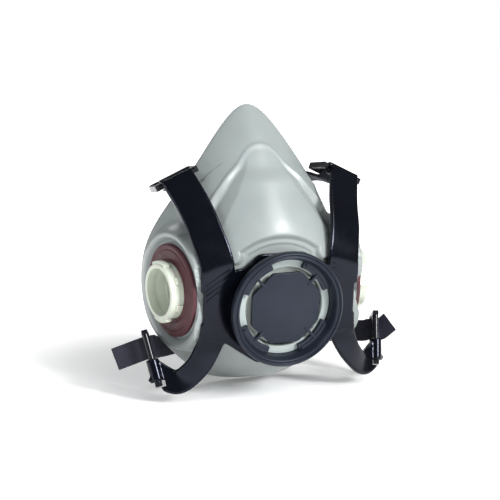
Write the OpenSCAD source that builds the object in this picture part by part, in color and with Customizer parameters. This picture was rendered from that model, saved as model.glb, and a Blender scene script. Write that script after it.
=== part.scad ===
// Half-mask respirator for painting, in millimetres.
// The wearer's face is towards +Y, the mask's front is -Y and +Z is up.
// The origin is the middle of the opening that seals on the face.

/* [Facepiece] */
// Thickness of the facepiece's rubber wall
wall = 2.4; // [1.8:0.1:3]
// Exponent that rounds the edges between the facepiece's panels
edge_sharpness = 11; // [8:1:16]
// Distance of the nose panel from the facepiece's middle
nose_panel = 34.6; // [32:0.2:36]
// Distance of the cheek panels from the facepiece's middle
cheek_panel = 45.5; // [44.5:0.5:46.5]
// How far the sealing flange turns in from the rim
flange_width = 11; // [8:0.5:13]

/* [Inhalation ports] */
// Outer radius of the flat gasket under a filter
gasket_r = 21.6; // [19:0.1:22]
// Outer radius of a port tube
port_r = 13; // [12.6:0.1:13.4]
// Radius of a port's air bore
port_bore_r = 11; // [10:0.1:11.4]
// How far a port stands out of the cheek
port_length = 8; // [6:0.5:9]

/* [Exhalation valve] */
// Outer radius of the valve cover's ring
cover_r = 25.4; // [25:0.2:26.4]
// Width across the flats of the cover's middle plate
plate_flats = 33; // [30:0.5:34]
// Distance from the facepiece's front to the ring's front edge
cover_front = 10.4; // [10.2:0.1:11.5]
// Lift of the exhalation diaphragm at full flow
diaphragm_lift = 1.6; // [1:0.1:1.8]

/* [Yoke and straps] */
// Thickness of the yoke's moulding
yoke_thick = 2.6; // [2.2:0.1:2.8]
// Width of the yoke's upper arms
upper_arm_w = 15.5; // [14:0.5:16]
// Width of the yoke's lower arms at their ends
lower_arm_w = 11; // [10:0.5:12]
// Width of the strap webbing
strap_w = 10.5; // [9:0.5:11]
// Thickness of the strap webbing
strap_thick = 1.4; // [1.2:0.1:1.6]

/* [Hidden] */

RUBBER = [0.80, 0.84, 0.85];
BLACK = [0.09, 0.10, 0.14];
SLATE = [0.16, 0.18, 0.23];
CREAM = [0.90, 0.91, 0.82];
MAROON = [0.45, 0.14, 0.17];
SEAT = [0.74, 0.78, 0.75];
NAVY = [0.08, 0.09, 0.22];

round_fn = 64;

// Frame of the exhalation valve: its middle on the facepiece, and its tilt below level
valve_at = [0, -48.3, -18.6];
valve_tilt = 6.9;
// Frame of the right port: its middle on the cheek, its direction from forward, its tilt
port_at = [43.6, -28, -13.3];
port_turn = 79;
port_tilt = -1.6;

// ---- directions and curves ----

function unit(v) = v / norm(v);
function aim(turn, rise) = [sin(turn) * cos(rise), -cos(turn) * cos(rise), sin(rise)];

// Catmull-Rom curve through a list of vectors, at parameter u from 0 to len - 1
function curve(p, u) =
    let (i = min(floor(u), len(p) - 2), t = u - i,
         a = p[max(i - 1, 0)], b = p[i], c = p[i + 1], d = p[min(i + 2, len(p) - 1)])
    0.5 * (2 * b + (c - a) * t + (2 * a - 5 * b + 4 * c - d) * t * t
        + (3 * b - a - 3 * c + d) * t * t * t);
function smooth(p, steps) =
    [for (k = [0 : steps * (len(p) - 1)]) curve(p, k / steps)];

module at_valve() {
    translate(valve_at) rotate([90 + valve_tilt, 0, 0]) children();
}

module at_right_port() {
    translate(port_at) rotate([0, 0, port_turn - 90]) rotate([0, 90 - port_tilt, 0]) children();
}

module on_side(side) {
    if (side > 0) children();
    else mirror([1, 0, 0]) children();
}

// Flat band that follows points, each with the direction across the band
module band(points, across, wide, thick, steps) {
    p = smooth(points, steps);
    w = smooth(across, steps);
    half = is_list(wide) ? smooth(wide, steps) / 2 : [for (q = p) wide / 2];
    n = len(p);
    corners = [for (i = [0 : n - 1])
        let (along = unit(p[min(i + 1, n - 1)] - p[max(i - 1, 0)]),
             side = unit(w[i] - along * (w[i] * along)),
             face = cross(side, along))
        for (c = [[-1, -1], [1, -1], [1, 1], [-1, 1]])
            p[i] + side * c.x * half[i] + face * c.y * thick / 2];
    sides = [for (i = [0 : n - 2], j = [0 : 3])
        let (a = 4 * i + j, b = 4 * i + (j + 1) % 4)
        each [[a, b, b + 4], [a, b + 4, a + 4]]];
    start = [[3, 2, 1, 0]];
    finish = [[4 * n - 4, 4 * n - 3, 4 * n - 2, 4 * n - 1]];
    polyhedron(corners, concat(start, sides, finish), convexity = 6);
}

// ---- facepiece ----

// Middle of the facepiece's hollow, from which its surface is measured
heart = [0, -22, -5];
function both(turn, rise, far) = [[turn, rise, far], [-turn, rise, far]];
// Panels that bound the facepiece: direction from forward, rise, distance from the heart
PANELS = concat(
    [[0, -valve_tilt, 27.7]],
    both(24, 29, nose_panel),
    [[0, 45, 48]],
    both(51.5, 32.5, 39.2),
    both(77, 23, 44.5),
    both(79, -1.6, cheek_panel),
    both(47, -2, 52),
    both(62, -38, 47),
    both(35, -30, 49.4),
    [[0, -35, 47]],
    [[0, -62, 52.5]],
    [[0, -85, 57]]
);
function reach(dir) =
    pow([for (p = PANELS) pow(max(0, aim(p[0], p[1]) * dir / p[2]), edge_sharpness)]
        * [for (p = PANELS) 1], -1 / edge_sharpness);

shell_columns = 48;
shell_rows = 17;
function rim_angle(t) = 99 + 16 * pow(cos(t), 4) + 3 * max(0, -sin(t));
function skin(a, t, depth) =
    let (dir = [sin(a) * cos(t), -cos(a), sin(a) * sin(t)])
    heart + dir * (reach(dir) - depth);
// One column of the shell from the front, out to the rim, in along the flange and back
function shell_column(t) =
    let (rim = rim_angle(t))
    concat(
        [for (i = [1 : shell_rows]) skin(rim * i / shell_rows, t, 0)],
        [skin(rim + 2, t, flange_width * 0.3), skin(rim + 1, t, flange_width),
         skin(rim - 1, t, flange_width + 0.4), skin(rim - 2.5, t, wall + 1.5)],
        [for (i = [shell_rows - 2 : -1 : 1]) skin(rim * i / shell_rows, t, wall)]
    );

module shell() {
    columns = [for (j = [0 : shell_columns - 1]) shell_column(360 * j / shell_columns)];
    m = len(columns[0]);
    points = concat([for (c = columns) each c], [skin(0, 0, 0), skin(0, 0, wall)]);
    front = len(points) - 2;
    back = len(points) - 1;
    quads = [for (j = [0 : shell_columns - 1], i = [0 : m - 2])
        let (a = j * m + i, b = ((j + 1) % shell_columns) * m + i)
        each [[a, b, b + 1], [a, b + 1, a + 1]]];
    poles = [for (j = [0 : shell_columns - 1])
        let (k = (j + 1) % shell_columns)
        each [[front, k * m, j * m], [back, j * m + m - 1, k * m + m - 1]]];
    polyhedron(points, concat(quads, poles), convexity = 8);
}

// Rim of the seat that the gasket lies in
lip_r = gasket_r + 3.2;
valve_hole_r = 17;
module facepiece() {
    color(RUBBER) difference() {
        union() {
            shell();
            for (side = [-1, 1]) on_side(side) at_right_port()
                translate([0, 0, -5]) cylinder(r = lip_r, h = 5, $fn = round_fn);
        }
        at_valve() translate([0, 0, -12]) cylinder(r = valve_hole_r, h = 30, $fn = round_fn);
        for (side = [-1, 1]) on_side(side) at_right_port() {
            translate([0, 0, -12]) cylinder(r = port_r, h = 20, $fn = round_fn);
            translate([0, 0, -16]) cylinder(r = 19, h = 15.9 - wall, $fn = round_fn);
            cylinder(r = lip_r + 1, h = 12, $fn = round_fn);
        }
        at_valve() {
            translate([-39.5, -26, 0.3]) cube([79, 48, 3.4]);
            for (x = [-39.5, 26]) translate([x, 2, -1.6]) cube([13.5, 22, 5]);
        }
    }
}

// ---- exhalation valve ----

seat_flange = 2.4;
seat_flange_r = 20.6;
seat_neck_r = valve_hole_r - 0.1;
seat_bore_r = 14.5;
stem_r = 1.8;
module ring(outer, inner, low, high) {
    translate([0, 0, low]) difference() {
        cylinder(r = outer, h = high - low, $fn = round_fn);
        translate([0, 0, -1]) cylinder(r = inner, h = high - low + 2, $fn = round_fn);
    }
}

// Thin arms from a hub at the middle out to a ring, which leave the air its way
module spider(arms, hub_r, reach_r, wide, low, high) {
    for (k = [0 : arms - 1]) rotate(360 * k / arms)
        translate([hub_r - 1, -wide / 2, low + 0.2]) cube([reach_r - hub_r + 1, wide, high - low - 0.4]);
    translate([0, 0, low]) cylinder(r = hub_r, h = high - low, $fn = round_fn);
}

// Moulded seat that plugs the front hole: neck, sealing lip, a spider for the stem, and a
// guard round the diaphragm that shows between the cover's flange segments
module exhalation_valve_seat() {
    color(SEAT) at_valve() difference() {
        union() {
            difference() {
                union() {
                    translate([0, 0, 0.1]) cylinder(r = seat_flange_r, h = 6.1, $fn = round_fn);
                    translate([0, 0, -6.5]) cylinder(r = seat_neck_r, h = 8, $fn = round_fn);
                    translate([0, 0, 1]) cylinder(r = 16.5, h = seat_flange, $fn = round_fn);
                }
                translate([0, 0, -8]) cylinder(r = seat_bore_r, h = 20, $fn = round_fn);
                translate([0, 0, seat_flange]) cylinder(r = 15.4, h = 5, $fn = round_fn);
                ring(18.6, 16.5, seat_flange, 12);
                translate([0, 0, 3.4]) cylinder(r = 18.6, h = 12, $fn = round_fn);
            }
            spider(6, 4, seat_bore_r + 0.6, 1.6, 0, seat_flange);
        }
        translate([0, 0, -1]) cylinder(r = stem_r + 0.06, h = 8, $fn = round_fn);
    }
}

// Ring that snaps round the seat's neck and clamps the rubber from inside
module exhalation_clamp_ring() {
    color(CREAM) at_valve() ring(21, seat_neck_r + 0.05, -6, -wall - 0.4);
}

// Soft disc that lifts off the seat, with its stem and the barb that stops it
barb_low = -diaphragm_lift - 2.6;
module exhalation_diaphragm() {
    color([0.86, 0.88, 0.86, 0.9]) at_valve() {
        translate([0, 0, seat_flange + 1.05]) cylinder(r = 18, h = 0.9, $fn = round_fn);
        translate([0, 0, barb_low + 0.8])
            cylinder(r = stem_r, h = seat_flange + 0.4 - barb_low, $fn = round_fn);
        translate([0, 0, barb_low]) cylinder(r = 2.7, h = 1.4, $fn = round_fn);
    }
}

cover_inner_r = cover_r - 3;
cover_back = 4.6;
cup_r = 15.6;
plate_top = cover_front - 1.4;
// Snap-on cover: ring, four inner flange segments, four spokes, and a plate over a round cup
module exhalation_cover() {
    color(SLATE) at_valve() {
        ring(cover_r, cover_inner_r, cover_back, cover_front);
        for (turn = [45 : 90 : 315]) rotate(turn) {
            translate([0, 0, cover_front - 3.6]) intersection() {
                ring(cover_inner_r + 0.5, cover_inner_r - 3, 0, 2);
                rotate(-24) linear_extrude(height = 2)
                    polygon([[0, 0], [40, 0], [40 * cos(24), 40 * sin(24)],
                        [40 * cos(48), 40 * sin(48)]]);
            }
            translate([cup_r - 1, -1, cover_front - 3.8]) cube([cover_inner_r - cup_r + 1.5, 2, 2.2]);
        }
        ring(cup_r, cup_r - 1.6, 6.2, plate_top - 0.5);
        translate([0, 0, plate_top - 1.8]) rotate(22.5)
            cylinder(r = plate_flats / 2 / cos(22.5), h = 1.8, $fn = 8);
    }
}

// ---- inhalation ports ----

// Tube with a bayonet lug at top and bottom, an inner rim, and a spider for the flap
module inhalation_port() {
    color(CREAM) difference() {
        union() {
            difference() {
                union() {
                    translate([0, 0, -7.5])
                        cylinder(r = port_r - 0.05, h = port_length + 7.5, $fn = round_fn);
                    for (turn = [0, 180]) rotate(turn) intersection() {
                        translate([0, 0, port_length - 3.2])
                            cylinder(r = port_r + 1.3, h = 2.8, $fn = round_fn);
                        linear_extrude(height = 20) polygon([[2, -1], [20, -8], [20, 8], [2, 1]]);
                    }
                }
                translate([0, 0, -1.8]) cylinder(r = port_bore_r, h = 30, $fn = round_fn);
                translate([0, 0, -6.3]) cylinder(r = port_bore_r - 0.6, h = 30, $fn = round_fn);
                translate([0, 0, -9]) cylinder(r = port_bore_r - 1.2, h = 5, $fn = round_fn);
            }
            spider(6, 2.6, port_bore_r - 0.9, 1.4, -7.6, -6.35);
        }
        translate([0, 0, -9]) cylinder(r = 1.26, h = 5, $fn = round_fn);
    }
}
module port_gasket() {
    color(MAROON) ring(gasket_r, port_r + 0.15, 0.05, 2);
}
module retaining_ring() {
    color(CREAM) ring(18.5, port_r + 0.05, -6, -wall - 0.2);
}
module inhalation_valve() {
    color([0.86, 0.88, 0.86, 0.9]) {
        translate([0, 0, -8.5]) cylinder(r = 12, h = 0.8, $fn = round_fn);
        translate([0, 0, -8.3]) cylinder(r = 1.2, h = 5.6, $fn = round_fn);
        translate([0, 0, -4]) cylinder(r = 1.9, h = 1.3, $fn = round_fn);
    }
}

// ---- yoke ----

plate_low = 0.5;
socket_r = cover_inner_r - 0.25;
// Half of the hub's outline, from the top round to the bottom, on the hub's own plane
HUB_EDGE = [[11.5, 24], [18, 17.8], [23, 17.5], [24, 14], [37, 14], [37, -14], [28, -15.5],
    [10.5, -27.5]];
module hub() {
    mirrored = [for (i = [len(HUB_EDGE) - 1 : -1 : 0]) [-HUB_EDGE[i].x, HUB_EDGE[i].y]];
    difference() {
        union() {
            translate([0, 0, plate_low]) linear_extrude(height = yoke_thick)
                polygon(concat(HUB_EDGE, mirrored));
            ring(socket_r, socket_r - 1.4, plate_low, plate_low + yoke_thick + 3.4);
        }
        translate([0, 0, -1]) cylinder(r = socket_r - 1.4, h = 20, $fn = round_fn);
    }
}

// Frame of a hinge knuckle: the bar's axis is local Z and the buckle leaves along local X
function square_to(axis, out) = unit(out - axis * (out * axis));
function place(hinge, axis, out, at) =
    let (x = square_to(axis, out))
    hinge + x * at.x + cross(axis, x) * at.y + axis * at.z;
module at_frame(hinge, axis, out) {
    x = square_to(axis, out);
    y = cross(axis, x);
    multmatrix([[x.x, y.x, axis.x, hinge.x], [x.y, y.y, axis.y, hinge.y],
        [x.z, y.z, axis.z, hinge.z], [0, 0, 0, 1]]) children();
}

bar_r = 1.5;
knuckle_r = 2.9;
upper_axis = unit([0.9, 0.04, -0.42]);
upper_hinge = [41.3, -26.2, 37.6];
upper_out = [-0.095, 0.989, -0.098];
lower_axis = unit([0.156, 0.346, 0.925]);
lower_hinge = [56.8, -35.5, -42.5];
// The two lower buckles hang at different swings, seen on the right-hand side
left_lower_out = [-0.3, 0.94, -0.3];
right_lower_out = [0.34, 0.9, -0.3];

UPPER_ARM = [[30.5, -51, -10], [31.2, -51.4, 2], [34.2, -46.5, 15], [37.2, -38.5, 26.5],
    [42.15, -28.7, 39.2]];
UPPER_ACROSS = [[1, 0, 0], [0.99, 0.1, -0.05], [0.98, 0.15, -0.15], [0.95, 0.1, -0.3],
    upper_axis];
LOWER_ARM = [[31.5, -49.1, -27], [33.5, -46.5, -37], [39, -45.5, -46.5], [47.3, -42, -53],
    [56.5, -37.5, -47.9]];
LOWER_ACROSS = [[1, 0, 0], [0.95, 0.05, 0.1], [0.6, 0.2, 0.75], [0.25, 0.35, 0.9],
    lower_axis];

knuckle_low = -10.9;
module yoke() {
    color(BLACK) difference() {
        union() {
            at_valve() hub();
            for (side = [-1, 1]) on_side(side) {
                band(UPPER_ARM, UPPER_ACROSS, upper_arm_w, yoke_thick, 5);
                band(LOWER_ARM, LOWER_ACROSS, [13, 12, lower_arm_w, lower_arm_w, 10.4],
                    yoke_thick, 5);
                at_frame(upper_hinge, upper_axis, upper_out)
                    cylinder(r = knuckle_r, h = upper_arm_w, center = true, $fn = round_fn);
                at_frame(lower_hinge, lower_axis, right_lower_out)
                    translate([0, 0, knuckle_low]) cylinder(r = knuckle_r, h = 10.4, $fn = round_fn);
            }
        }
        for (side = [-1, 1]) on_side(side) {
            at_frame(upper_hinge, upper_axis, upper_out)
                cylinder(r = bar_r + 0.05, h = 40, center = true, $fn = round_fn);
            at_frame(lower_hinge, lower_axis, right_lower_out)
                {
                    translate([0, 0, knuckle_low - 4])
                        cylinder(r = bar_r + 0.05, h = 20, $fn = round_fn);
                    translate([0, 0, knuckle_low - 2.9])
                        cylinder(r = knuckle_r + 0.5, h = 2.85, $fn = round_fn);
                }
        }
    }
}

// ---- buckles and straps ----

buckle_depth = 12.4;
middle_bar = 5.8;
module buckle(half, rail) {
    color(BLACK) {
        cylinder(r = bar_r, h = 2 * half - 1, center = true, $fn = round_fn);
        for (end = [-1, 1]) translate([-1.9, -1.4, end * (half - rail / 2) - rail / 2])
            cube([buckle_depth + 1.9, 2.8, rail]);
        translate([middle_bar, 0, 0]) cube([2.2, 2.2, 2 * half - 1], center = true);
        translate([buckle_depth - 1, 0, 0]) cube([2, 3.4, 2 * half - 1], center = true);
    }
}
module upper_buckle() {
    at_frame(upper_hinge, upper_axis, upper_out) buckle(10.8, 1.6);
}
module lower_buckle(out) {
    at_frame(lower_hinge, lower_axis, out) buckle(13.2, 2);
}

slot_middle = 8.65;
// Height of the neck strap above the middle of its buckle's bar
neck_rise = 5.65;
function neck_start(out, wrap) = [
    place(lower_hinge, lower_axis, out, [slot_middle, 0.3, neck_rise]),
    place(lower_hinge, lower_axis, out, [9, 2.5, neck_rise]),
    place(lower_hinge, lower_axis, out, [wrap.x, wrap.y, neck_rise - 0.3])
];
HEAD_HALF = [
    place(upper_hinge, upper_axis, upper_out, [slot_middle, 0.9, 0]),
    place(upper_hinge, upper_axis, upper_out, [9, -1.6, 0]),
    place(upper_hinge, upper_axis, upper_out, [11.8, -2.9, 0]),
    [34, -3, 34.5], [24, 12, 27], [18, 25, 13], [9, 32, 1], [0, 34, -3]];
HEAD_ACROSS = [upper_axis, upper_axis, upper_axis, [0.85, 0.2, -0.35], [0.75, 0.4, -0.1],
    [0.6, 0.5, 0.4], [0.3, 0.45, 0.8], [0, 0.4, 0.92]];
NECK_HALF = [[49, -9, -43.5], [38, 7, -47.5], [19, 20, -48], [0, 25.5, -47]];
NECK_ACROSS = [lower_axis, lower_axis, lower_axis, [0.1, 0.3, 0.95], [0.05, 0.2, 0.97],
    [0, 0.1, 0.99], [0, 0, 1]];
function flip(list) = [for (v = list) [-v.x, v.y, v.z]];
function backwards(list) = [for (i = [len(list) - 1 : -1 : 0]) list[i]];
// All of a list but its last item
function rest_of(list) = [for (i = [0 : len(list) - 2]) list[i]];
module strap(left, right, across) {
    color(NAVY) band(concat(flip(left), backwards(rest_of(right))),
        concat(flip(across), backwards(rest_of(across))),
        strap_w, strap_thick, 4);
}
module head_strap() {
    strap(HEAD_HALF, HEAD_HALF, HEAD_ACROSS);
}
module neck_strap() {
    strap(concat(neck_start(left_lower_out, [12.2, 3.4]), NECK_HALF),
        concat(neck_start(right_lower_out, [11.2, 5.4]), NECK_HALF), NECK_ACROSS);
}

// Free end of a lower strap, which runs out of its buckle's slot to a cut end
module strap_tail(out, last) {
    start = place(lower_hinge, lower_axis, out, [slot_middle, -0.6, neck_rise]);
    next = place(lower_hinge, lower_axis, out, [slot_middle - 0.2, -3.4, neck_rise]);
    color(NAVY) band([start, next, last],
        [lower_axis, lower_axis, [0.2, 0.2, 0.95]], strap_w, strap_thick, 5);
}

facepiece();
yoke();
exhalation_valve_seat();
exhalation_clamp_ring();
exhalation_diaphragm();
exhalation_cover();
on_side(-1) at_right_port() inhalation_port();  // left_inhalation_port
at_right_port() inhalation_port();  // right_inhalation_port
on_side(-1) at_right_port() port_gasket();  // left_port_gasket
at_right_port() port_gasket();  // right_port_gasket
on_side(-1) at_right_port() retaining_ring();  // left_retaining_ring
at_right_port() retaining_ring();  // right_retaining_ring
on_side(-1) at_right_port() inhalation_valve();  // left_inhalation_valve
at_right_port() inhalation_valve();  // right_inhalation_valve
on_side(-1) upper_buckle();  // left_upper_buckle
upper_buckle();  // right_upper_buckle
on_side(-1) lower_buckle(left_lower_out);  // left_lower_buckle
lower_buckle(right_lower_out);  // right_lower_buckle
head_strap();
neck_strap();
on_side(-1) strap_tail(left_lower_out, [70, -21.5, -45]);  // left_strap_tail
strap_tail(right_lower_out, [67.5, -30, -36.5]);  // right_strap_tail
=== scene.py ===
"""Visual model of the half-mask respirator. Lengths in the shape code are in millimetres."""
import math
import bpy
import bmesh
import numpy as np
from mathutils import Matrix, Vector


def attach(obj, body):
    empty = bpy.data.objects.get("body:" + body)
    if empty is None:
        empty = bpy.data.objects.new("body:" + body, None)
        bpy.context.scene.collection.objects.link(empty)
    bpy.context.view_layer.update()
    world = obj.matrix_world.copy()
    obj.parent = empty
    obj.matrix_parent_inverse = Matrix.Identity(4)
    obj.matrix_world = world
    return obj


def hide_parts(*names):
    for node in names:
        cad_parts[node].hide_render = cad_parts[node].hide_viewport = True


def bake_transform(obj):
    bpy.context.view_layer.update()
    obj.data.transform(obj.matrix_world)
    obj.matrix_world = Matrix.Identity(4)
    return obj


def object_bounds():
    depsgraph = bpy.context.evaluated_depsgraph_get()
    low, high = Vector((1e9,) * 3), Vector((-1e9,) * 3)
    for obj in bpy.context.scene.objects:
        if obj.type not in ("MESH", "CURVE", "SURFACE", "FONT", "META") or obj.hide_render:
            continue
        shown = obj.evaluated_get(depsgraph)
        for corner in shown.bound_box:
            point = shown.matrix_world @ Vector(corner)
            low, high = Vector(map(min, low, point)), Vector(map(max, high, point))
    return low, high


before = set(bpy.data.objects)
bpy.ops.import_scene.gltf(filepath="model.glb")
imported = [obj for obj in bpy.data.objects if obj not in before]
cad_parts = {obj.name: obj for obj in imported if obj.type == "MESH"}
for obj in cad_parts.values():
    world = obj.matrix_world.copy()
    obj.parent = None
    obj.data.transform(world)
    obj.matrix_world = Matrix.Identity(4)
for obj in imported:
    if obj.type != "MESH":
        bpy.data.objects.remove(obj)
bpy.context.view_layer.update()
MM = 0.001

# ---- camera, floor and light ----

target = Vector((0, -0.030, 0.005))
turn, rise, away = math.radians(22.14), math.radians(8.23), 0.5556
back = Vector((-math.sin(turn) * math.cos(rise), -math.cos(turn) * math.cos(rise), math.sin(rise)))
cam = bpy.data.objects.new("camera", bpy.data.cameras.new("camera"))
SENSOR, FOCAL_PIXELS, FRAME_PIXELS = 36, 1186, 500
cam.data.sensor_width, cam.data.lens = SENSOR, FOCAL_PIXELS / FRAME_PIXELS * SENSOR
cam.data.shift_x, cam.data.shift_y = -0.0268, -0.0082
cam.location = target + back * away
cam.rotation_euler = (-back).to_track_quat("-Z", "Y").to_euler()
bpy.context.collection.objects.link(cam)
bpy.context.scene.camera = cam


def area_light(name, place, size, power, colour=(1, 1, 1)):
    light = bpy.data.lights.new(name, "AREA")
    light.shape, light.size, light.energy, light.color = "DISK", size, power, colour
    o = bpy.data.objects.new(name, light)
    o.location = place
    o.rotation_euler = (target - Vector(place)).to_track_quat("-Z", "Y").to_euler()
    bpy.context.collection.objects.link(o)


area_light("key", (0.24, -0.50, 0.52), 0.42, 3.0)
area_light("fill", (-0.55, -0.35, 0.42), 0.22, 1.3, (0.93, 0.96, 1))
area_light("glint", (0.18, -0.57, 0.20), 0.05, 0.25, (0.8, 0.86, 1))
area_light("back", (0.15, 0.60, 0.45), 0.5, 2)
sun = bpy.data.objects.new("sun", bpy.data.lights.new("sun", "SUN"))
sun.data.energy, sun.data.angle = 2.9, math.radians(14)
sun.rotation_euler = Vector((-0.42, 0.78, -0.47)).to_track_quat("-Z", "Y").to_euler()
bpy.context.collection.objects.link(sun)
world = bpy.data.worlds.new("studio")
bpy.context.scene.world = world
world.use_nodes = True
sky = world.node_tree.nodes["Background"]
sky.inputs["Color"].default_value = (1, 1, 1, 1)
seen = world.node_tree.nodes.new("ShaderNodeLightPath")
level = world.node_tree.nodes.new("ShaderNodeMapRange")
level.inputs["To Min"].default_value, level.inputs["To Max"].default_value = 0.21, 1.0
world.node_tree.links.new(seen.outputs["Is Camera Ray"], level.inputs["Value"])
world.node_tree.links.new(level.outputs[0], sky.inputs["Strength"])
bpy.context.scene.view_settings.view_transform = "Standard"

# ---- materials ----


def node(tree, kind, inputs=None, **fields):
    n = tree.nodes.new("ShaderNode" + kind)
    for key, value in fields.items():
        setattr(n, key, value)
    for key, value in (inputs or {}).items():
        if isinstance(value, bpy.types.NodeSocket):
            tree.links.new(value, n.inputs[key])
        else:
            n.inputs[key].default_value = value
    return n


def noise(tree, where, scale, detail=3.0, stretch=None):
    if stretch:
        where = node(tree, "Mapping", {"Vector": where, "Scale": stretch}).outputs[0]
    return node(tree, "TexNoise", {"Vector": where, "Scale": scale, "Detail": detail}).outputs["Fac"]


def ranged(tree, value, low, high, start=0.3, end=0.7):
    return node(tree, "MapRange", {"Value": value, "From Min": start, "From Max": end,
                                   "To Min": low, "To Max": high}).outputs[0]


def blended(tree, value, low, high, start=0.3, end=0.7):
    ramp = node(tree, "ValToRGB", {"Fac": value})
    ramp.color_ramp.elements[0].position, ramp.color_ramp.elements[1].position = start, end
    ramp.color_ramp.elements[0].color = (*low, 1)
    ramp.color_ramp.elements[1].color = (*high, 1)
    return ramp.outputs["Color"]


def moulded(name, dark, light, rough, grain, depth, streaks=0.0, **sockets):
    """Moulded plastic or rubber: clouded colour, uneven gloss, fine grain and faint rub marks."""
    m = bpy.data.materials.new(name)
    m.use_nodes = True
    t = m.node_tree
    shader = t.nodes["Principled BSDF"]
    where = node(t, "TexCoord").outputs["Object"]
    cloud = noise(t, where, 45, 4)
    t.links.new(blended(t, cloud, dark, light), shader.inputs["Base Color"])
    gloss = ranged(t, noise(t, where, 160, 5), rough[0], rough[1])
    if streaks:
        rub = noise(t, where, 90, 6, (1, 7, 0.6))
        marks = ranged(t, rub, 0, streaks, 0.6, 0.75)
        gloss = node(t, "Math", {0: gloss, 1: marks}, operation="ADD").outputs[0]
    t.links.new(gloss, shader.inputs["Roughness"])
    fine = noise(t, where, grain, 3)
    bump = node(t, "Bump", {"Height": fine, "Strength": 1.0, "Distance": depth * MM})
    t.links.new(bump.outputs[0], shader.inputs["Normal"])
    for key, value in sockets.items():
        shader.inputs[key.replace("_", " ")].default_value = value
    return m


def woven(name, dark, light):
    """Elastic webbing: ribs along the strap crossed by picks of weft, from the strap's own layer."""
    m = bpy.data.materials.new(name)
    m.use_nodes = True
    t = m.node_tree
    shader = t.nodes["Principled BSDF"]
    where = node(t, "UVMap", uv_map="weave").outputs[0]
    across = node(t, "TexWave", {"Vector": where, "Scale": 0.42}, bands_direction="Y").outputs["Fac"]
    along = node(t, "TexWave", {"Vector": where, "Scale": 0.36, "Distortion": 0.6,
                                "Detail Scale": 2}, bands_direction="X").outputs["Fac"]
    cloth = node(t, "Math", {0: across, 1: along}, operation="MULTIPLY").outputs[0]
    fuzz = noise(t, where, 3.5, 4)
    both = node(t, "Math", {0: cloth, 1: 0.8, 2: fuzz}, operation="MULTIPLY_ADD").outputs[0]
    t.links.new(blended(t, both, dark, light, 0.3, 1.3), shader.inputs["Base Color"])
    t.links.new(ranged(t, fuzz, 0.62, 0.85), shader.inputs["Roughness"])
    bump = node(t, "Bump", {"Height": both, "Strength": 0.7, "Distance": 0.18 * MM})
    t.links.new(bump.outputs[0], shader.inputs["Normal"])
    shader.inputs["Sheen Weight"].default_value = 0.1
    shader.inputs["Sheen Roughness"].default_value = 0.45
    shader.inputs["Sheen Tint"].default_value = (0.35, 0.38, 0.75, 1)
    return m


SILICONE = moulded("silicone", (0.235, 0.262, 0.258), (0.27, 0.30, 0.295), (0.36, 0.44), 1900, 0.02,
                   0.0, Subsurface_Weight=0.04, Subsurface_Scale=0.003, Coat_Weight=0.1,
                   Coat_Roughness=0.2)
BLACK = moulded("gloss_black", (0.0010, 0.0013, 0.0024), (0.002, 0.0025, 0.0045), (0.13, 0.19), 1300,
                0.010, 0.05, Specular_Tint=(0.74, 0.78, 1, 1), Specular_IOR_Level=0.25)
SLATE = moulded("slate", (0.0065, 0.0085, 0.015), (0.011, 0.014, 0.023), (0.34, 0.46), 2600, 0.04,
                0.08, Specular_Tint=(0.8, 0.88, 1, 1), Specular_IOR_Level=0.3)
CREAM = moulded("cream", (0.50, 0.54, 0.45), (0.58, 0.62, 0.53), (0.36, 0.48), 1500, 0.03, 0.04,
                Subsurface_Weight=0.06, Subsurface_Scale=0.002)
SEAT = moulded("seat_grey_green", (0.29, 0.34, 0.33), (0.36, 0.41, 0.40), (0.36, 0.5), 1500, 0.03,
               0.04)
MEMBRANE = moulded("valve_silicone", (0.44, 0.49, 0.46), (0.52, 0.56, 0.53), (0.34, 0.46), 1700,
                   0.03, 0.03, Subsurface_Weight=0.06, Subsurface_Scale=0.003)
MAROON = moulded("maroon_rubber", (0.048, 0.010, 0.015), (0.075, 0.014, 0.021), (0.5, 0.66), 1500,
                 0.06, 0.05)
BUCKLE = moulded("buckle_black", (0.003, 0.0033, 0.0055), (0.006, 0.0065, 0.010), (0.22, 0.3), 1500,
                 0.008, 0.06, Specular_IOR_Level=0.35)
WEBBING = woven("navy_webbing", (0.0014, 0.0016, 0.005), (0.008, 0.009, 0.026))
FLOOR = moulded("floor", (0.93, 0.93, 0.93), (0.95, 0.95, 0.95), (0.8, 0.9), 30, 0.01)
tree = FLOOR.node_tree
middle = node(tree, "Mapping", {"Vector": node(tree, "TexCoord").outputs["Object"],
                                "Location": (0, -0.02, 0)})
length = node(tree, "VectorMath", {0: middle.outputs[0]}, operation="LENGTH").outputs["Value"]
# Painted light: the floor glows, faintly near the object and up to full white farther away
floor_glow = node(tree, "MapRange", {"Value": length, "From Min": 0.04, "From Max": 0.22,
                                    "To Min": 0.12, "To Max": 1.0},
                 interpolation_type="SMOOTHSTEP").outputs[0]
tree.links.new(floor_glow, tree.nodes["Principled BSDF"].inputs["Emission Strength"])
tree.nodes["Principled BSDF"].inputs["Emission Color"].default_value = (1, 1, 1, 1)

# ---- mesh helpers ----


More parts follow.
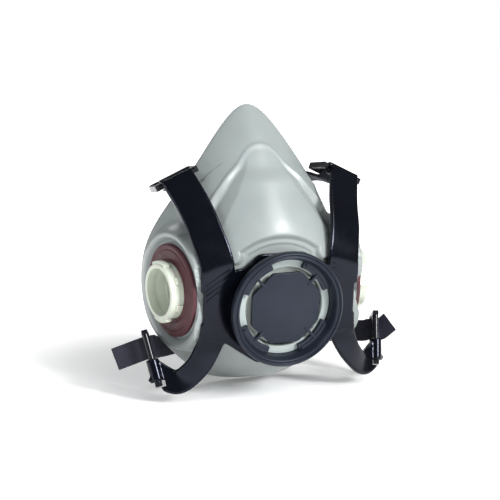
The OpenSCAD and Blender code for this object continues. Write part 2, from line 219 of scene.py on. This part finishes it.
def build(name, points, faces, material, body, slot, place=None, sharp=38, replaces=()):
    """A piece from points in millimetres, with its place, finish, body and CAD node."""
    mesh = bpy.data.meshes.new(name)
    p = np.asarray(points, float)
    if place is not None:
        p = p @ place[:, :3].T + place[:, 3]
    mesh.from_pydata((p * MM).tolist(), [], [list(map(int, f)) for f in faces])
    bm = bmesh.new()
    bm.from_mesh(mesh)
    bmesh.ops.remove_doubles(bm, verts=bm.verts, dist=1e-7)
    bmesh.ops.recalc_face_normals(bm, faces=bm.faces)
    bm.to_mesh(mesh)
    bm.free()
    mesh.shade_smooth()
    mesh.set_sharp_from_angle(angle=math.radians(sharp))
    mesh.materials.append(material)
    o = bpy.data.objects.new(name, mesh)
    bpy.context.collection.objects.link(o)
    if body:
        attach(o, body)
    if replaces:
        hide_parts(*replaces)
    return o


def baked(o):
    """Applies the piece's modifiers to its mesh."""
    dg = bpy.context.evaluated_depsgraph_get()
    mesh = bpy.data.meshes.new_from_object(o.evaluated_get(dg))
    o.modifiers.clear()
    o.data = mesh
    return o


def unit(v):
    v = np.asarray(v, float)
    return v / np.linalg.norm(v)


def step(x, low, high):
    s = np.clip((x - low) / (high - low), 0, 1)
    return s * s * (3 - 2 * s)


def smooth(points, steps):
    """Catmull-Rom curve through the points."""
    p = np.asarray(points, float)
    out = []
    for i in range(len(p) - 1):
        a, b, c, d = p[max(i - 1, 0)], p[i], p[i + 1], p[min(i + 2, len(p) - 1)]
        for s in np.linspace(0, 1, steps, endpoint=False):
            out.append(0.5 * (2 * b + (c - a) * s + (2 * a - 5 * b + 4 * c - d) * s * s
                              + (3 * b - a - 3 * c + d) * s ** 3))
    out.append(p[-1])
    return np.array(out)


def rounded(corners, radius, n=4):
    """A closed outline with each corner turned into a small curve."""
    c = np.asarray(corners, float)
    out = []
    for i in range(len(c)):
        a, b, d = c[i - 1], c[i], c[(i + 1) % len(c)]
        la, ld = np.linalg.norm(a - b), np.linalg.norm(d - b)
        s, e = b + (a - b) * min(radius / la, 0.45), b + (d - b) * min(radius / ld, 0.45)
        for q in np.linspace(0, 1, n):
            out.append((1 - q) ** 2 * s + 2 * q * (1 - q) * b + q * q * e)
    return np.array(out)


def sweep(outline, low=0, high=360, steps=128):
    """An (r, w) outline turned about the axis, all round or over part of a turn."""
    full = high - low >= 360
    turns = np.radians(np.linspace(low, high, steps + 1)[: steps if full else steps + 1])
    m = len(outline)
    points = [(r * math.cos(a), r * math.sin(a), w) for a in turns for r, w in outline]
    n = len(turns)
    faces = [(i * m + j, i * m + (j + 1) % m, (i + 1) % n * m + (j + 1) % m, (i + 1) % n * m + j)
             for i in range(n if full else n - 1) for j in range(m)]
    if not full:
        faces += [tuple(range(m))[::-1], tuple(range((n - 1) * m, n * m))]
    return points, faces


def slab(outline, low, high, edge):
    """A flat plate with an outline in x and y and softened edges."""
    o = np.asarray(outline, float)
    middle = o.mean(0)
    size = np.linalg.norm(o - middle, axis=1).mean()
    layers = [(edge, low), (edge * 0.3, low + edge * 0.3), (0, low + edge), (0, high - edge),
              (edge * 0.3, high - edge * 0.3), (edge, high)]
    points, n = [], len(o)
    for inset, w in layers:
        points += [(*(middle + (q - middle) * (1 - inset / size)), w) for q in o]
    faces = [(k * n + i, k * n + (i + 1) % n, (k + 1) * n + (i + 1) % n, (k + 1) * n + i)
             for k in range(len(layers) - 1) for i in range(n)]
    return points, faces + [tuple(range(n))[::-1], tuple(range(len(points) - n, len(points)))]


def joined(*parts):
    points, faces = [], []
    for p, f in parts:
        faces += [tuple(i + len(points) for i in q) for q in f]
        points += [tuple(v) for v in p]
    return points, faces


def spun(part, degrees):
    a = math.radians(degrees)
    return [(x * math.cos(a) - y * math.sin(a), x * math.sin(a) + y * math.cos(a), w)
            for x, y, w in part[0]], part[1]


def box_part(low, high, edge=0.25):
    (x0, y0, z0), (x1, y1, z1) = low, high
    return slab(rounded([(x0, y0), (x1, y0), (x1, y1), (x0, y1)], edge, 3), z0, z1, edge)


def band(points, across, wide, thick, steps, edge=0.35):
    """A band that follows points, with its width along across. Also gives its weave layout."""
    p, w = smooth(points, steps), smooth(across, steps)
    if np.ndim(wide):
        half = smooth(np.reshape(wide, (-1, 1)), steps)[:, 0] / 2
    else:
        half = np.full(len(p), wide / 2)
    out, layout, length = [], [], 0
    for i in range(len(p)):
        along = unit(p[min(i + 1, len(p) - 1)] - p[max(i - 1, 0)])
        side = unit(w[i] - along * (w[i] @ along))
        face = np.cross(side, along)
        length += np.linalg.norm(p[i] - p[i - 1]) if i else 0
        h, t = half[i], thick / 2
        corners = [(-h, -t), (h, -t), (h, t), (-h, t)]
        for x, y in rounded(corners, edge, 3):
            out.append(p[i] + side * x + face * y)
            layout.append((length, x))
    m = len(out) // len(p)
    faces = [(i * m + j, i * m + (j + 1) % m, (i + 1) * m + (j + 1) % m, (i + 1) * m + j)
             for i in range(len(p) - 1) for j in range(m)]
    faces += [tuple(range(m))[::-1], tuple(range((len(p) - 1) * m, len(p) * m))]
    return out, faces, layout


def frame_at(origin, x, y, z):
    return np.column_stack([x, y, z, origin])


MIRROR = np.diag([-1.0, 1, 1])


def on_left(place):
    return MIRROR @ place


# ---- places taken from the CAD ----

LEAN = math.radians(6.9)
VALVE = frame_at((0, -48.3, -18.6), (1, 0, 0), (0, -math.sin(LEAN), math.cos(LEAN)),
                 (0, -math.cos(LEAN), -math.sin(LEAN)))


def aim(turn, rise):
    a, e = math.radians(turn), math.radians(rise)
    return np.array([math.sin(a) * math.cos(e), -math.cos(a) * math.cos(e), math.sin(e)])


PORT_OUT = aim(79, -1.6)
PORT_BACK = np.array([math.sin(math.radians(11)), math.cos(math.radians(11)), 0])
PORT = frame_at((43.6, -28, -13.3), np.cross(PORT_BACK, PORT_OUT), PORT_BACK, PORT_OUT)
SIDES = (("left", on_left(PORT)), ("right", PORT))

# ---- facepiece ----

HEART = np.array([0, -22, -5.0])
EDGE_SHARPNESS = 11
WALL = 2.4
# Panels as (azimuth, elevation, distance) seen from the heart
PANELS = [(0, -6.9, 27.7), (0, 45, 48), (0, -35, 47), (0, -62, 52.5), (0, -85, 57)] + [
    (s * a, e, d) for s in (-1, 1) for a, e, d in
    [(24, 29, 34.6), (51.5, 32.5, 39.2), (77, 23, 45), (79, -1.6, 45.5), (47, -2, 52),
     (62, -38, 47), (35, -30, 49.4)]]
NORMALS = np.array([aim(a, e) / d for a, e, d in PANELS])
# The brow line and the edge of the nose wedge, as seen along the mask's axis from its middle
BROW = [(0, 0.940), (0.05, 0.939), (0.10, 0.930), (0.165, 0.895), (0.26, 0.832), (0.38, 0.735),
        (0.49, 0.636), (0.59, 0.495), (0.66, 0.36), (0.70, 0.2)]
WEDGE = [(0, 0.925), (0.06, 0.924), (0.10, 0.915), (0.13, 0.875), (0.165, 0.79), (0.255, 0.645),
         (0.345, 0.52), (0.42, 0.38), (0.50, 0.22), (0.53, 0.1)]


def reach(d):
    """Distance from the heart to the plain shell along each direction d."""
    return (np.maximum(0, d @ NORMALS.T) ** EDGE_SHARPNESS).sum(-1) ** (-1 / EDGE_SHARPNESS)


def inside_of(p, q, line):
    """Distance from a line in the (p, q) view, positive below it and towards the middle."""
    line = smooth(line, 6)
    best, sign = np.full(p.shape, 9.0), np.ones(p.shape)
    for a, b in zip(line[:-1], line[1:]):
        e = b - a
        vx, vy = p - a[0], q - a[1]
        s = np.clip((vx * e[0] + vy * e[1]) / (e @ e), 0, 1)
        away = np.hypot(vx - s * e[0], vy - s * e[1])
        near = away < best
        best = np.where(near, away, best)
        sign = np.where(near, np.where(e[0] * vy - e[1] * vx < 0, 1, -1), sign)
    return best * sign


def relief(d, r):
    """Height of the moulded features over the plain shell: brow line, wedge, hood and lobes."""
    p, q = np.abs(d[..., 0]) / (1 - d[..., 1]), d[..., 2] / (1 - d[..., 1])
    scale = (1 - d[..., 1]) * r
    brow, wedge = inside_of(p, q, BROW) * scale, inside_of(p, q, WEDGE) * scale
    share = np.clip(brow / np.maximum(brow - wedge, 0.3), 0, 1)
    share = np.where(wedge > 0, 1, share)
    fade = step(q, 0.12, 0.4) * step(d[..., 1], 0.35, 0.0)
    drop = np.clip(0.3 * (brow - wedge), 1.0, 3.4) * (1 - share)
    out = (0.65 * np.exp(-(brow / 0.9) ** 2) - drop * step(brow, 0.1, 1.8)) * fade
    local = (HEART + d * r[..., None] - VALVE[:, 3]) @ VALVE[:, :3]
    x, y = np.abs(local[..., 0]), local[..., 1]
    hood = np.minimum(np.minimum(np.hypot(x, y) - 29.3, y - 21.8), 25.2 + 0.2 * (y - 22) - x)
    hood = np.maximum(hood, 3.9 - np.hypot(x - 21.1, y - 22.2))
    front = (d[..., 1] < 0) * step(y, 60, 50)
    return out + (0.5 * step(hood, -2.3, -1.5) + 1.7 * step(hood, -0.2, 1.4)) * front


def cheek_lips(points):
    """Sets the gasket seats flat, with a groove and a thick rounded lip round each."""
    for _, place in SIDES:
        local = (points - place[:, 3]) @ place[:, :3]
        rho, w = np.hypot(local[..., 0], local[..., 1]), local[..., 2]
        lip = -1.0 * step(rho, 21.7, 22.3) + 2.7 * step(rho, 22.7, 25.2)
        want = np.where(rho < 26.2, lip, lip + (w - lip) * step(rho, 26.2, 32.5))
        near = (rho < 32.5) & (w > -14)
        points = points + np.where(near, want - w, 0)[..., None] * place[:, 2]
    local = (points - VALVE[:, 3]) @ VALVE[:, :3]
    x, y, w = np.abs(local[..., 0]), local[..., 1], local[..., 2]
    most = 0.3 - 1.8 * step(y, 0, 5) * step(x, 25, 27) + 1.3 * np.maximum(x - 38.3, 0)
    bed = (x < 41) & (y > -26) & ((y < 17) | (x > 25.8)) & (y < 24) & (w > most)
    return points + np.where(bed, most - w, 0)[..., None] * VALVE[:, 2]


def make_facepiece():
    columns, rows, inner = 400, 176, 40
    t = np.linspace(0, 2 * np.pi, columns, endpoint=False)
    rim = 99 + 16 * np.cos(t) ** 4 + 3 * np.maximum(0, -np.sin(t)) - np.maximum(0, np.sin(t)) ** 30

    def skin(a):
        a = np.radians(a)
        d = np.stack([np.sin(a) * np.cos(t), -np.cos(a), np.sin(a) * np.sin(t)], -1)
        return d, reach(d)

    loops = []
    for i in range(1, rows + 1):
        d, r = skin(rim * i / rows)
        loops.append(cheek_lips(HEART + d * (r + relief(d, r))[:, None]))
    corners = [(0, 0.0), (1.6, 0.5), (2.4, 2.4), (2.3, 5.5), (1.4, 10.6), (0.7, 11.2), (-0.4, 10.8),
               (-1.2, 7), (-2.2, 4.2), (-5, 2.5)]
    for a, depth in smooth(corners, 4)[1:]:
        d, r = skin(rim + a)
        loops.append(HEART + d * (r - depth)[:, None])
    for i in np.linspace(0.93, 0.02, inner):
        d, r = skin(rim * i)
        loops.append(HEART + d * (r - WALL)[:, None])
    points = np.concatenate(loops)
    n = columns
    faces = [(k * n + j, k * n + (j + 1) % n, (k + 1) * n + (j + 1) % n, (k + 1) * n + j)
             for k in range(len(loops) - 1) for j in range(n)]
    faces += [tuple(range(n))[::-1], tuple(range(len(points) - n, len(points)))]
    o = build("facepiece_skin", points, faces, SILICONE, "root", "facepiece_rubber", sharp=60,
              replaces=["facepiece"])
    tools = []
    for name, place, radius in (("v", VALVE, 17.0), ("l", on_left(PORT), 13.05), ("r", PORT, 13.05)):
        tool = build("cut_" + name, *sweep([(0.001, -14), (radius, -14), (radius, 14), (0.001, 14)]),
                     SILICONE, None, None, place)
        cut = o.modifiers.new(tool.name, "BOOLEAN")
        cut.operation, cut.solver, cut.object = "DIFFERENCE", "EXACT", tool
        tools.append(tool)
    baked(o)
    for tool in tools:
        bpy.data.objects.remove(tool)
    o.data.shade_smooth()
    o.data.set_sharp_from_angle(angle=math.radians(50))


make_facepiece()

# ---- yoke ----

YOKE_THICK = 2.6
KNUCKLE_R = 2.9
HUB_EDGE = [(11.5, 24), (18, 17.8), (23, 17.5), (24, 14), (37, 14), (37, -14), (28, -15.5),
            (10.5, -27.5)]
UPPER_AXIS, LOWER_AXIS = unit((0.9, 0.04, -0.42)), unit((0.156, 0.346, 0.925))
UPPER_HINGE, LOWER_HINGE = np.array([41.3, -26.2, 37.6]), np.array([56.8, -35.5, -42.5])
UPPER_OUT, LOWER_OUT_LEFT, LOWER_OUT_RIGHT = (-0.095, 0.989, -0.098), (-0.3, 0.94, -0.3), (0.34, 0.9, -0.3)
UPPER_ARM = [(30.5, -51.1, -11), (30.7, -51.85, -4.5), (31.2, -51.4, 3), (34.2, -46.5, 15),
             (37.2, -38.5, 26.5), (42.15, -28.7, 39.2)]
UPPER_ACROSS = [(1, 0, 0), (1, 0, 0), (0.99, 0.1, -0.05), (0.98, 0.15, -0.15), (0.95, 0.1, -0.3),
                UPPER_AXIS]
LOWER_ARM = [(31.3, -49.2, -26), (32, -48.4, -32), (34, -46.6, -38), (39, -45.5, -46.5),
             (47.3, -42, -53), (56.5, -37.5, -47.9)]
LOWER_ACROSS = [(1, 0, 0), (1, 0, 0.02), (0.95, 0.05, 0.1), (0.6, 0.2, 0.75), (0.25, 0.35, 0.9),
                LOWER_AXIS]


def hinge_frame(hinge, axis, out):
    x = unit(np.asarray(out) - axis * (np.asarray(out) @ axis))
    return frame_at(hinge, x, np.cross(axis, x), axis)


def moved(part, place):
    return (np.asarray(part[0], float) @ place[:, :3].T + place[:, 3]).tolist(), part[1]


def flipped(part):
    return (np.asarray(part[0], float) * (-1, 1, 1)).tolist(), [tuple(f)[::-1] for f in part[1]]


def tube(outer, inner, low, high, steps=96):
    return sweep(rounded([(inner, low), (outer, low), (outer, high), (inner, high)], 0.3, 3), steps=steps)


def knuckle(low, high):
    return sweep([(0.01, low), (KNUCKLE_R, low), (KNUCKLE_R, high), (0.01, high)], steps=32)


def make_yoke():
    outline = HUB_EDGE + [(-x, y) for x, y in HUB_EDGE[::-1]]
    parts = [moved(slab(rounded(outline, 2.2, 5), 0.5, 3.1, 0.3), VALVE),
             moved(tube(22.2, 20.75, 0.5, 6.0), VALVE)]
    for side in (1, -1):
        upper = band(UPPER_ARM, UPPER_ACROSS, 15.5, YOKE_THICK, 10)[:2]
        lower = band(LOWER_ARM, LOWER_ACROSS, [13, 12.6, 12, 11, 11, 10.4], YOKE_THICK, 10)[:2]
        high = hinge_frame(UPPER_HINGE, UPPER_AXIS, UPPER_OUT)
        low = hinge_frame(LOWER_HINGE, LOWER_AXIS, LOWER_OUT_RIGHT)
        pair = [upper, lower, moved(knuckle(-7.7, 7.7), high), moved(knuckle(-10.9, -0.5), low)]
        parts += [p if side > 0 else flipped(p) for p in pair]
    o = build("yoke_moulding", *joined(*parts), BLACK, "root", "yoke_plastic", replaces=["yoke"])
    remesh = o.modifiers.new("remesh", "REMESH")
    remesh.mode, remesh.voxel_size, remesh.use_smooth_shade = "VOXEL", 0.42 * MM, True
    soften = o.modifiers.new("soften", "SMOOTH")
    soften.factor, soften.iterations = 0.5, 10
    baked(o)
    cuts = [("hub", VALVE, 20.75, -2, 20)]
    for side, flip in (("l", True), ("r", False)):
        for hinge, axis, out, label in ((UPPER_HINGE, UPPER_AXIS, UPPER_OUT, "u"),
                                        (LOWER_HINGE, LOWER_AXIS, LOWER_OUT_RIGHT, "d")):
            place = hinge_frame(hinge, axis, out)
            place = on_left(place) if flip else place
            cuts.append((side + label, place, 1.55, -16, 10.5))
            if label == "d":
                cuts.append((side + "notch", place, 3.4, -13.8, -10.95))
    tools = []
    for name, place, radius, low, high in cuts:
        tool = build("bore_" + name, *sweep([(0.001, low), (radius, low), (radius, high), (0.001, high)],
                                            steps=96 if name == "hub" else 32), BLACK, None, None, place)
        cut = o.modifiers.new(tool.name, "BOOLEAN")
        cut.operation, cut.solver, cut.object = "DIFFERENCE", "EXACT", tool
        tools.append(tool)
    baked(o)
    for tool in tools:
        bpy.data.objects.remove(tool)
    o.data.shade_smooth()
    o.data.set_sharp_from_angle(angle=math.radians(60))


make_yoke()

# Fine ribs across the yoke's wings
ribs = []
for k in range(4):
    a, b = np.array([36.2, 3.4 + 2.5 * k]), np.array([25.4, 11.2 + 2.3 * k])
    along = (b - a) / np.linalg.norm(b - a)
    side = np.array([-along[1], along[0]]) * 0.42
    ribs.append(slab(rounded([a - side, b - side, b + side, a + side], 0.3, 3), 2.9, 3.5, 0.25))
wings = joined(*ribs)
for name, place in (("left", on_left(VALVE)), ("right", VALVE)):
    build(name + "_wing_ribs", *wings, BLACK, "root", "yoke_plastic", place)

# ---- exhalation cover ----

PLATE_FLATS = 33
ring = sweep(rounded([(22.4, 4.6), (23.8, 4.6), (24.3, 7.2), (26.7, 9.2), (26.8, 12.2), (26.2, 13.0),
                      (25.7, 13.0), (25.4, 12.2), (24.9, 12.2), (24.6, 12.7), (24.0, 12.7),
                      (23.4, 11.6), (22.7, 9.6), (22.4, 8.0)], 0.3, 3), steps=160)
flange = sweep(rounded([(19.4, 6.8), (22.9, 6.8), (22.9, 8.8), (19.4, 8.8)], 0.35, 3), 21, 69, 24)
ledge = sweep(rounded([(20.9, 8.5), (22.7, 8.5), (22.7, 9.4), (20.9, 9.4)], 0.25, 3), 24, 66, 24)
spoke = spun(box_part((14.4, -0.6, 6.8), (22.9, 0.6, 9.3), 0.25), 45)
corner_r = PLATE_FLATS / 2 / math.cos(math.pi / 8)
octagon = [(corner_r * math.cos(a), corner_r * math.sin(a))
           for a in [math.pi / 8 + k * math.pi / 4 for k in range(8)]]
cup = sweep(rounded([(14, 6.2), (15.6, 6.2), (15.6, 8.5), (14, 8.5)], 0.3, 3), steps=96)
plate = slab(rounded(octagon, 0.9, 4), 7.2, 9.0, 0.4)
build("seat_rim", *tube(22.3, 18.7, 6.05, 6.6), SEAT, "root", "valve_seat_plastic", VALVE)
quarters = [spun(part, 90 * k) for k in range(4) for part in (flange, ledge, spoke)]
build("exhalation_cover_shell", *joined(ring, cup, *quarters), SLATE, "exhalation_cover",
      "cover_plastic", VALVE, replaces=["exhalation_cover"])
build("exhalation_cover_plate", *plate, SLATE, "exhalation_cover", "cover_plastic", VALVE)

# ---- inhalation ports and gaskets ----


def port_part(half):
    """A port tube. Its mouth is two arcs of half degrees to each side, so 90 leaves no slot."""
    wall = sweep(rounded([(9.8, -7.5), (12.95, -7.5), (12.95, 3.4), (11, 3.4), (11, -1.8), (10.4, -1.8),
                          (10.4, -6.3), (9.8, -6.3)], 0.3, 3), steps=96)
    parts = [wall]
    for middle in (0, 180):
        parts.append(sweep(rounded([(11, 3.0), (12.95, 3.0), (12.95, 8), (11, 8)], 0.3, 3),
                           middle - half, middle + half, 48))
        parts.append(sweep(rounded([(12.5, 4.8), (14.3, 4.8), (14.3, 7.6), (12.5, 7.6)], 0.3, 3),
                           middle - 24, middle + 24, 12))
    for middle in (62, 118, 242, 298):
        parts.append(sweep(rounded([(12.5, 2.0), (13.6, 2.0), (13.6, 5.4), (12.5, 5.4)], 0.25, 3),
                           middle - 7, middle + 7, 5))
    for k in range(6):
        parts.append(spun(box_part((1.6, -0.7, -7.4), (10.4, 0.7, -6.5), 0.2), 60 * k))
    parts.append(tube(2.6, 1.26, -7.6, -6.35, 32))
    return joined(*parts)


gasket = sweep(rounded([(13.15, 0.1), (21.6, 0.1), (21.6, 1.5), (20.9, 2.0), (19.6, 2.0), (19.3, 1.75),
                        (18.9, 1.75), (18.6, 2.0), (15.2, 2.0), (14.9, 1.75), (14.5, 1.75),
                        (14.2, 2.0), (13.15, 2.0)], 0.2, 3), steps=128)
for name, place in SIDES:
    half = 90 if name == "left" else 81
    build(name + "_port_moulding", *port_part(half), CREAM, "root", "port_plastic", place,
          replaces=[name + "_inhalation_port"])
    build(name + "_gasket_ring", *gasket, MAROON, "root", "gasket_rubber", place,
          replaces=[name + "_port_gasket"])

# ---- straps ----

STRAP_WIDTH, STRAP_THICK = 10.5, 1.4
HIGH = hinge_frame(UPPER_HINGE, UPPER_AXIS, UPPER_OUT)


def at(place, x, y, z):
    return place[:, :3] @ (x, y, z) + place[:, 3]


HEAD = [at(HIGH, 8.65, 0.9, 0), at(HIGH, 9, -1.6, 0), at(HIGH, 11.8, -2.9, 0), (34, -3, 34.5),
        (24, 12, 27), (18, 25, 13), (9, 32, 1), (0, 34, -3)]
HEAD_ACROSS = [UPPER_AXIS, UPPER_AXIS, UPPER_AXIS, (0.85, 0.2, -0.35), (0.75, 0.4, -0.1),
               (0.6, 0.5, 0.4), (0.3, 0.45, 0.8), (0, 0.4, 0.92)]
NECK = [(49, -9, -43.5), (38, 7, -47.5), (19, 20, -48), (0, 25.5, -47)]
NECK_ACROSS = [LOWER_AXIS, LOWER_AXIS, LOWER_AXIS, (0.1, 0.3, 0.95), (0.05, 0.2, 0.97), (0, 0.1, 0.99),
               (0, 0, 1)]


def strap(name, points, across, left, body, node_name):
    p, f, layout = band(points, across, STRAP_WIDTH, STRAP_THICK, 12)
    if left:
        p, f = flipped((p, f))
    mesh = bpy.data.meshes.new(name)
    mesh.from_pydata((np.asarray(p) * MM).tolist(), [], [list(q) for q in f])
    layer = mesh.uv_layers.new(name="weave")
    for loop in mesh.loops:
        layer.data[loop.index].uv = layout[loop.vertex_index]
    mesh.shade_smooth()
    mesh.set_sharp_from_angle(angle=math.radians(60))
    mesh.materials.append(WEBBING)
    o = bpy.data.objects.new(name, mesh)
    bpy.context.collection.objects.link(o)
    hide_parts(node_name)
    if body.startswith("blend:"):
        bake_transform(o)
    else:
        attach(o, body)


for side, left, out, last in (("left", True, LOWER_OUT_LEFT, (70, -21.5, -45)),
                              ("right", False, LOWER_OUT_RIGHT, (67.5, -30, -36.5))):
    LOW = hinge_frame(LOWER_HINGE, LOWER_AXIS, out)
    strap(side + "_head_strap", HEAD, HEAD_ACROSS, left, "blend:" + side + "_upper_buckle", "head_strap")
    wrap = (12.2, 3.4) if left else (11.2, 5.4)
    strap(side + "_neck_strap", [at(LOW, 8.65, 0.3, 5.65), at(LOW, 9, 2.5, 5.65), at(LOW, *wrap, 5.35)]
          + NECK, NECK_ACROSS, left, "blend:" + side + "_lower_buckle", "neck_strap")
    strap(side + "_tail", [at(LOW, 8.65, -0.6, 5.65), at(LOW, 8.45, -3.4, 5.65), last],
          [LOWER_AXIS, LOWER_AXIS, (0.2, 0.2, 0.95)], left, side + "_lower_buckle", side + "_strap_tail")

# ---- finishes for the CAD nodes that stay ----

FINISH = {"exhalation_valve_seat": SEAT, "exhalation_clamp_ring": CREAM, "exhalation_diaphragm": MEMBRANE}
for side in ("left", "right"):
    FINISH[side + "_retaining_ring"] = CREAM
    FINISH[side + "_inhalation_valve"] = MEMBRANE
    FINISH[side + "_upper_buckle"] = FINISH[side + "_lower_buckle"] = BUCKLE
for name, material in FINISH.items():
    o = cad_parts[name]
    for k in range(max(1, len(o.material_slots))):
        if o.material_slots:
            o.material_slots[k].material = material
    soft_edge = o.modifiers.new("soft_edge", "BEVEL")
    soft_edge.width, soft_edge.segments, soft_edge.limit_method = 0.25 * MM, 2, "ANGLE"
    soft_edge.angle_limit = math.radians(40)
    soft_edge.harden_normals = False

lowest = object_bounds()[0].z
mesh = bpy.data.meshes.new("floor")
mesh.from_pydata([(-6, -6, 0), (6, -6, 0), (6, 6, 0), (-6, 6, 0)], [], [(0, 1, 2, 3)])
mesh.materials.append(FLOOR)
ground = bpy.data.objects.new("floor", mesh)
ground.location.z = lowest - 0.001
bpy.context.collection.objects.link(ground)
